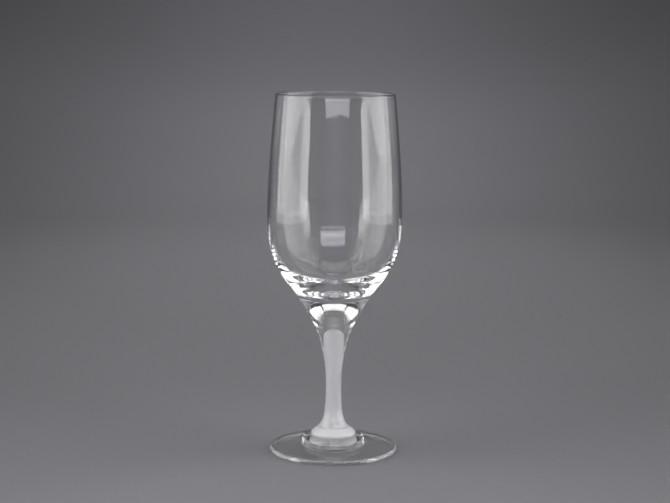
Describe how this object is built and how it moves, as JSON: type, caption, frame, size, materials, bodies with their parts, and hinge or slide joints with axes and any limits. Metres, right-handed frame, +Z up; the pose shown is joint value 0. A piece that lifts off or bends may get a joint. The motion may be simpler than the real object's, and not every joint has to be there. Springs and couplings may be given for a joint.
{
  "type": "beer glass",
  "caption": "Stemmed beer glass with a tall clear bowl, a clear stem drawn over a white core, a white collar and a clear round foot with a hollow underside.",
  "frame": {"origin": "centre of the ring that the glass stands on", "axes": "+Z up along the axis of the glass; the glass is round, so X and Y are free"},
  "size_m": [0.071, 0.071, 0.19],
  "materials": {
    "clear_glass": "clear, fire-polished",
    "opal_glass": "opaque white, glossy"
  },
  "bodies": {
    "root": {"bowl": "clear_glass", "stem_casing": "clear_glass", "stem_core": "opal_glass", "collar": "opal_glass", "foot": "clear_glass"}
  },
  "joints": []
}
